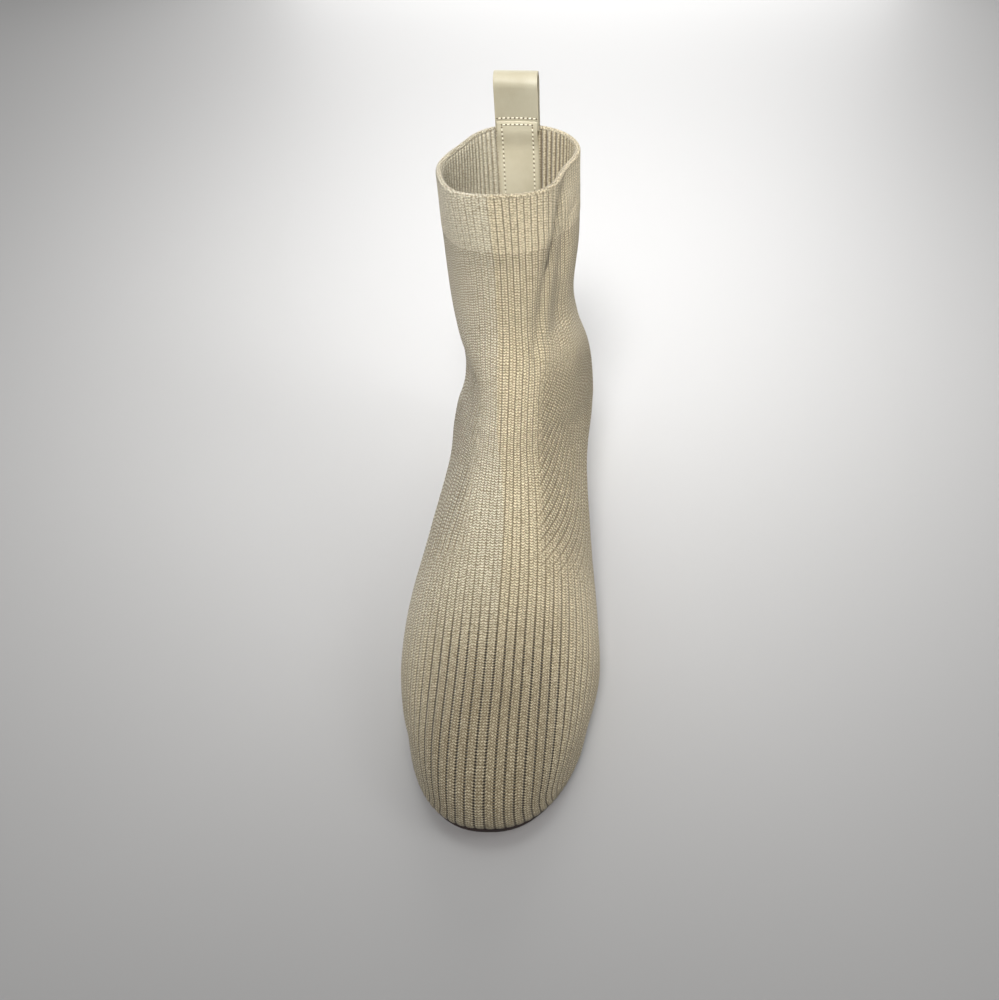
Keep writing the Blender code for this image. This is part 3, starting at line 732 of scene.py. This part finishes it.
outer_places = np.concatenate([
    [CUFF_RING - up_by for up_by, proud in CUFF_LIP],
    np.linspace(CUFF_RING - CUFF_LIP[-1][0], RIM_START, CUFF_ROWS - len(CUFF_LIP) + 1)[1:]])
outer_proud = [proud for up_by, proud in CUFF_LIP] + [CUFF_PROUD] * (CUFF_ROWS - len(CUFF_LIP))
roll_angles = np.linspace(0, math.pi, ROLL_ROWS + 2)[1:-1]
cuff_rib = np.concatenate([np.linspace(-SIDE_RIBS, 0, SIDE_COLUMNS + 1),
                           np.linspace(0, SIDE_RIBS, SIDE_COLUMNS + 1)[1:]])
cuff_wave = 0.5 - 0.5 * np.cos(2 * np.pi * cuff_rib)
rows = []
for place_in_rings, proud in zip(outer_places, outer_proud):
    here, out, up = wall_frame(place_in_rings)
    rows.append((here + out * (proud - CUFF_RIB / 2), out, out, place_in_rings, here, CUFF_RIB))
here, out, up = wall_frame(RIM_START)
for angle in roll_angles:
    radial = out * math.cos(angle) + up * math.sin(angle)
    middle = here + out * (CUFF_PROUD - CUFF_WALL / 2)
    rows.append((middle + radial * ROLL_RADIUS, radial, out, RIM_START, here, 0.00006))
inner_places = np.linspace(RIM_START, INSIDE_END, INSIDE_ROWS)
inner_depth = np.interp(inner_places, (INSIDE_END - 0.1, INSIDE_END), (CUFF_WALL, KNIT_WALL * 0.8))
for place_in_rings, depth in zip(inner_places, inner_depth):
    here, out, up = wall_frame(place_in_rings)
    rows.append((here + out * (CUFF_PROUD - depth), -out, out, place_in_rings, here, INSIDE_RIB))
cuff_wall = np.array([points + lift * (cuff_wave * height)[:, None]
                      for points, lift, out, place_in_rings, here, height in rows])
cuff_wall = press_creases(
    cuff_wall, np.array([row[2] for row in rows]), np.array([row[3] for row in rows]),
    arc_lengths(np.array([row[4] for row in rows])))
cuff_wall[:, -1] = cuff_wall[:, 0]
cuff_wall = np.concatenate([cuff_wall, cuff_wall[:1]])
cuff_course = np.concatenate([
    -(outer_places[0] - outer_places) / outer_places[0] * CUFF_LINE,
    -CUFF_LINE - ROLL_RADIUS * roll_angles,
    -CUFF_LINE - 0.005 - inner_places / outer_places[0] * CUFF_LINE])
cuff_course = np.append(cuff_course, cuff_course[-1] - COURSE)[:, None] / COURSE
cuff_uv = np.stack(np.broadcast_arrays(cuff_rib[None, :], cuff_course), axis=-1)
knurl_uv = np.stack(
    np.broadcast_arrays(cuff_rib[None, :] * KNURL + cuff_course * KNURL_SLANT, cuff_course), axis=-1)
cuff_zones = np.zeros(cuff_uv.shape[:2] + (3,))
cuff_zones[:CUFF_ROWS, :, 1] = 0.12
cuff_zones[CUFF_ROWS:CUFF_ROWS + ROLL_ROWS, :, 0] = 1.0
cuff_zones[:, :, 2] = smooth_step(1.6, 2.2, -cuff_rib)[None, :]
cuff = knit_mesh()
cuff_vertices, cuff_faces = knit_sheet(cuff, cuff_wall, cuff_uv, knurl_uv, cuff_zones)
rib_map = cuff.loops.layers.uv["ribs"]
for face in cuff_faces:
    face_course = np.mean([loop[rib_map].uv.y for loop in face.loops]) * COURSE
    if face_course < -CUFF_LINE - ROLL_RADIUS * math.pi:
        face.material_index = 1
    elif face_course < -CUFF_LINE:
        face.material_index = 2
bmesh.ops.remove_doubles(cuff, verts=cuff_vertices, dist=2e-6)
bmesh.ops.recalc_face_normals(cuff, faces=cuff.faces)
add_piece("upper_cuff", cuff, [cuff_knit, inside_knit, roll_knit])

# Leather stay and pull loop. Two strips of smooth beige leather with painted edges. The stay
# covers the inside of the back seam, and the loop is folded over the collar.
EDGE_ROUNDING = 0.00028
SHARP_EDGE = 1.0


def leather_finish(name, light, deep, pore_mm):
    """Smooth leather with fine pores and clouds in its dye and gloss."""
    finish = Finish(name, Specular_IOR_Level=0.32, Coat_Weight=0.05, Coat_Roughness=0.45)
    place = finish.place()
    pores = finish.node("ShaderNodeTexVoronoi", {}, {"Vector": place, "Scale": 1500.0})
    clouds = finish.noise(place, 90.0, 4.0)
    grain = finish.noise(place, 1300.0, 2.0)
    finish.bump(pores * pore_mm + clouds * 0.10 + grain * pore_mm)
    finish.feed("Base Color", finish.mix(clouds.share(0.3, 0.75) + (grain - 0.5) * 0.3, light, deep))
    finish.feed("Roughness", clouds * 0.25 + 0.40)
    return finish.material


smooth_leather = leather_finish(
    "smooth_leather", (0.520, 0.476, 0.352, 1), (0.460, 0.415, 0.296, 1), 0.03)
loop_leather = leather_finish(
    "loop_leather", (0.395, 0.363, 0.268, 1), (0.350, 0.317, 0.226, 1), 0.03)
edge_paint = leather_finish(
    "edge_paint", (0.430, 0.385, 0.270, 1), (0.360, 0.315, 0.210, 1), 0.05)


def merged_copy(node):
    """A bmesh copy of a node of the frame with its triangles joined."""
    solid = bmesh.new()
    solid.from_mesh(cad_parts[node].data)
    bmesh.ops.remove_doubles(solid, verts=solid.verts, dist=1e-6)
    bmesh.ops.join_triangles(
        solid, faces=solid.faces, angle_face_threshold=0.7, angle_shape_threshold=0.7)
    return solid


def sharp_edges(solid):
    """The edges of a bmesh where two faces meet at more than SHARP_EDGE, in radians."""
    return [edge for edge in solid.edges
            if len(edge.link_faces) == 2 and edge.calc_face_angle() > SHARP_EDGE]


def rounded_piece(node, name, finishes, rounding, segments):
    """Takes a node's place with the same form, its sharp edges rounded and in its own finish."""
    solid = merged_copy(node)
    sharp = sharp_edges(solid)
    rounded = bmesh.ops.bevel(solid, geom=sharp, offset=rounding, offset_type="OFFSET", segments=segments,
                              profile=0.5, affect="EDGES", material=-1)
    for face in rounded["faces"]:
        face.material_index = len(finishes) - 1
    piece = add_piece(name, solid, finishes)
    piece.modifiers.new("flat_faces", "WEIGHTED_NORMAL").weight = 80
    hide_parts(node)
    return piece


rounded_piece("pull_loop", "pull_loop_leather", [loop_leather, edge_paint],
              EDGE_ROUNDING, 2)
rounded_piece("back_stay", "back_stay_leather", [smooth_leather, edge_paint],
              EDGE_ROUNDING, 2)

# Facing of the stay. Its upper end lies over the end of the loop, so that both are caught by the
# same two rows of stitches, and it runs straight down from there onto the stay.
STAY_TOP = 0.1876
STRETCHED_FROM = 0.1730
LOOP_END = 0.1837
FACING = 0.0007
FACING_ROUNDING = 0.0002
FACING_SINK = 0.00015
FACING_LOW = 0.0003
INTO_BACK = (0, 1, 0)
INTO_FRONT = (0, -1, 0)
INSIDE_SHAFT = -0.01
LOOK_DEPTH = 0.05
surfaces = {}
for node in ("back_stay", "pull_loop"):
    solid = merged_copy(node)
    surfaces[node] = BVHTree.FromBMesh(solid)
    solid.free()


def front_face(node, across, height):
    """How far back the front face of a strip lies; past its edge, that of the edge."""
    for inset in (0.98, 0.94, 0.90, 0.84, 0.76, 0.60, 0.40):
        eye = Vector((across * inset, INSIDE_SHAFT, height))
        found = surfaces[node].ray_cast(eye, Vector(INTO_BACK), LOOK_DEPTH)[0]
        if found is not None:
            return found.y
    raise ValueError(node)


stay_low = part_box("back_stay")[0][2]
stay_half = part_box("back_stay")[1][0]
facing = bmesh.new()
grid = bmesh.ops.create_grid(facing, x_segments=16, y_segments=48, size=0.5)
for vertex in grid["verts"]:
    across = vertex.co.x * 2 * stay_half
    height = stay_low + FACING_LOW + (vertex.co.y + 0.5) * (STAY_TOP - stay_low - FACING_LOW)
    loop_y = front_face("pull_loop", across, max(height, LOOP_END))
    stay_y = front_face("back_stay", across, min(max(height, stay_low + 0.001), LOOP_END - 0.0002))
    bend = float(smooth_step(STRETCHED_FROM, LOOP_END, height))
    vertex.co = (across, stay_y + (loop_y - stay_y) * bend - FACING_SINK, height)
bmesh.ops.recalc_face_normals(facing, faces=facing.faces)
bmesh.ops.solidify(facing, geom=facing.faces[:], thickness=FACING)
bmesh.ops.recalc_face_normals(facing, faces=facing.faces)
bmesh.ops.bevel(facing, geom=sharp_edges(facing), offset=FACING_ROUNDING, offset_type="OFFSET",
                segments=2, profile=0.5, affect="EDGES", material=-1)
facing_surface = BVHTree.FromBMesh(facing)
add_piece("stay_facing", facing, [smooth_leather])

# Stitching of the stay and the loop. Waxed beige thread, sewn through the leather and the knit: two
# long rows down the stay, a bar across each strip at the rim, and a square on the loop's outer end.
# At each end of a stitch a dark flat disc stands for the needle hole: painted shade where the thread
# pulls into the leather.
STITCH_LENGTH = 0.00135
STITCH_PITCH = 0.00205
STITCH_WIDTH = 0.00062
STITCH_RISE = 0.00050
# Sizes of the dark discs of painted shade at the needle holes.
HOLE_LENGTH = 0.00085
HOLE_WIDTH = 0.00085
HOLE_RISE = 0.00026
STITCH_SKEW = 0.16
STITCH_FROM_EDGE = 0.0022
THREAD_SUNK = 0.2
LOOK_FROM = 0.02
BACK_WALL = 0.016
BAR_ABOVE_STAY = 0.0012
BAR_BELOW_TOP = 0.0014
SQUARE_LOW = 0.0020
SQUARE_HIGH = 0.0165
SQUARE_INSET = 0.0020
BAR_INSET = 0.0010
thread = Finish("beige_thread", Roughness=0.65, Sheen_Weight=0.2)
thread_place = thread.place()
twist = thread.node("ShaderNodeTexWave", {"bands_direction": "DIAGONAL"},
                    {"Vector": thread_place, "Scale": 900.0})
thread.bump(twist * 0.05)
thread.feed("Base Color", thread.mix(
    thread.noise(thread_place, 700.0, 1.0), (0.90, 0.85, 0.70, 1), (0.76, 0.70, 0.54, 1)))
# Near-black painted shade for the needle holes.
painted_hole_shadow = Finish("painted_hole_shadow", Roughness=0.9)
painted_hole_shadow.feed("Base Color", painted_hole_shadow.mix(
    painted_hole_shadow.noise(painted_hole_shadow.place(), 900.0, 1.0), (0.16, 0.12, 0.07, 1), (0.09, 0.065, 0.035, 1)))


def sew(solid, holes, surface, first, last, look):
    """Stitches, with dark discs of painted shade at their needle holes, between two points, laid on
    the surface that is found by looking along a direction."""
    first, last, look = Vector(first), Vector(last), Vector(look)
    count = max(1, round((last - first).length / STITCH_PITCH))
    for n in range(2 * count + 1):
        middle = first + (last - first) * (n / (2 * count))
        found, out = surface.ray_cast(middle - look * LOOK_FROM, look, LOOK_DEPTH)[:2]
        if found is None:
            continue
        across = out.cross(last - first).normalized()
        along = (across.cross(out) + across * STITCH_SKEW).normalized()
        across = out.cross(along)
        turn = Matrix((along, across, out)).transposed().to_4x4()
        if n % 2:
            size = (STITCH_LENGTH / 2, STITCH_WIDTH / 2, STITCH_RISE / 2, 1)
            centre = found + out * (STITCH_RISE * THREAD_SUNK)
        else:
            size = (HOLE_LENGTH / 2, HOLE_WIDTH / 2, HOLE_RISE / 2, 1)
            centre = found
        bmesh.ops.create_icosphere(
            solid if n % 2 else holes, subdivisions=2 if n % 2 else 1, radius=1,
            matrix=Matrix.Translation(centre) @ turn @ Matrix.Diagonal(size))


def face_edges(surface, height, look, step=0.00025, reach=0.016):
    """The lowest and highest x of a surface at a height, looking along a direction."""
    look = Vector(look)
    found = [x for x in np.arange(-reach, reach, step)
             if surface.ray_cast(Vector((x, BACK_WALL, height)) - look * LOOK_FROM, look, LOOK_DEPTH)[0]
             is not None]
    return (min(found), max(found)) if found else None


loop_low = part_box("pull_loop")[0][2]
stitches = bmesh.new()
painted_hole_shadows = bmesh.new()
side_row = stay_half - STITCH_FROM_EDGE
second_row = STAY_TOP - BAR_BELOW_TOP
for side in (-1, 1):
    sew(stitches, painted_hole_shadows, facing_surface, (side * side_row, BACK_WALL, second_row - 0.0012),
        (side * side_row, BACK_WALL, stay_low + 0.0022), INTO_BACK)
sew(stitches, painted_hole_shadows, facing_surface, (-side_row, BACK_WALL, second_row),
    (side_row, BACK_WALL, second_row), INTO_BACK)
for height, look in ((STAY_TOP + BAR_ABOVE_STAY, INTO_BACK), (loop_low + SQUARE_LOW, INTO_FRONT),
                     (loop_low + SQUARE_HIGH, INTO_FRONT)):
    ends = face_edges(surfaces["pull_loop"], height, look)
    sew(stitches, painted_hole_shadows, surfaces["pull_loop"], (ends[0] + BAR_INSET, BACK_WALL, height),
        (ends[1] - BAR_INSET, BACK_WALL, height), look)
for n, inward in ((0, SQUARE_INSET), (1, -SQUARE_INSET)):
    ends = [face_edges(surfaces["pull_loop"], loop_low + rise, INTO_FRONT)[n] + inward
            for rise in (SQUARE_LOW, SQUARE_HIGH)]
    sew(stitches, painted_hole_shadows, surfaces["pull_loop"], (ends[0], BACK_WALL, loop_low + 0.0030),
        (ends[1], BACK_WALL, loop_low + 0.0155), INTO_FRONT)
add_piece("leather_stitches", stitches, [thread.material])
add_piece("painted_hole_shadows", painted_hole_shadows, [painted_hole_shadow.material])

# Insole. A sheet of lining leather on the outsole, inside the upper, whose edge is cut clean.
lining = leather_finish(
    "lining_leather", (0.640, 0.575, 0.430, 1), (0.560, 0.490, 0.350, 1), 0.04)
rounded_piece("insole", "insole_sheet", [lining], 0.0003, 2)

# Outsole. A thin sheet of dark brown moulded rubber from toe to heel, cut to the last's outline
# and glued under the knit. Its floor face is redder and lightly scuffed.
rubber = Finish("outsole_rubber", Specular_IOR_Level=0.25)
rubber_place = rubber.place()
rubber_grain = rubber.noise(rubber_place, 1500.0, 2.0)
rubber_wear = rubber.noise(rubber_place, 60.0, 4.0)
floor_side = rubber.node(
    "ShaderNodeSeparateXYZ", {}, [rubber.node("ShaderNodeNewGeometry", {}, (), 1)], 2)
rubber.bump(rubber_grain * 0.05 + rubber_wear * 0.05)
rubber.feed("Base Color", rubber.mix(
    floor_side.share(-0.9, -0.5, 1.0, 0.0),
    rubber.mix(rubber_wear.share(0.35, 0.75), (0.016, 0.007, 0.005, 1), (0.030, 0.013, 0.010, 1)),
    rubber.mix(rubber_wear.share(0.35, 0.75), (0.150, 0.030, 0.022, 1), (0.200, 0.055, 0.042, 1))))
rubber.feed("Roughness", rubber_wear * 0.35 + 0.30)
rounded_piece("outsole", "outsole_sheet", [rubber.material], 0.0004, 2)

# Heel. A block of hard plastic covered in the same smooth leather, glued and nailed from inside.
heel_cover = leather_finish(
    "heel_cover", (0.650, 0.590, 0.435, 1), (0.570, 0.505, 0.355, 1), 0.03)
rounded_piece("heel", "heel_block", [heel_cover], 0.0006, 2)

# Top piece. A flat pad of dark hard rubber under the heel, ground flush with its cover.
lift = Finish("top_piece_rubber", Specular_IOR_Level=0.4)
lift_place = lift.place()
lift_grain = lift.noise(lift_place, 1100.0, 3.0)
lift_wear = lift.noise(lift_place, 120.0, 3.0)
lift.bump(lift_grain * 0.06)
lift.feed("Base Color", lift.mix(
    lift_wear.share(0.35, 0.7), (0.030, 0.020, 0.016, 1), (0.060, 0.042, 0.034, 1)))
lift.feed("Roughness", lift_wear * 0.3 + 0.5)
rounded_piece("top_lift", "top_piece", [lift.material], 0.0003, 2)

# Room. A pale matt floor under soft light from above and behind, with weaker lights in front and
# on the right. Lamps: name, place, aim, size in metres, spread in degrees, watts.
LAMPS = (
    ("back", (0.0, 0.90, 0.35), (0.0, 0.0, 0.10), 0.8, 180, 5.2),
    ("front", (0.0, -0.75, 1.15), (0.0, 0.09, 0.19), 0.35, 34, 1.10),
    ("high", (0.0, 0.05, 1.20), (0.0, 0.12, 0.10), 0.5, 60, 0.42),
    ("right", (0.9, -0.35, 0.9), (0.0, 0.05, 0.15), 0.5, 60, 0.36),
)
ROOM_LIGHT = 0.35
for light_name, place, turn_to, size, spread, power in LAMPS:
    lamp_data = bpy.data.lights.new(light_name, "AREA")
    lamp_data.size = size
    lamp_data.energy = power
    lamp_data.spread = math.radians(spread)
    lamp = bpy.data.objects.new(light_name, lamp_data)
    lamp.location = place
    lamp.rotation_euler = (Vector(turn_to) - Vector(place)).to_track_quat("-Z", "Y").to_euler()
    lamp.visible_camera = False
    bpy.context.scene.collection.objects.link(lamp)

world = bpy.data.worlds.new("room")
world.use_nodes = True
world.node_tree.nodes["Background"].inputs["Color"].default_value = (1.0, 1.0, 1.0, 1)
world.node_tree.nodes["Background"].inputs["Strength"].default_value = ROOM_LIGHT
bpy.context.scene.world = world

ground = bmesh.new()
bmesh.ops.create_grid(ground, x_segments=1, y_segments=1, size=4)
ground_mesh = bpy.data.meshes.new("floor")
ground.to_mesh(ground_mesh)
ground.free()
floor_finish = Finish("pale_floor", Base_Color=(0.52, 0.515, 0.51, 1), Roughness=0.6)
ground_mesh.materials.append(floor_finish.material)
floor = bpy.data.objects.new("floor", ground_mesh)
bpy.context.scene.collection.objects.link(floor)
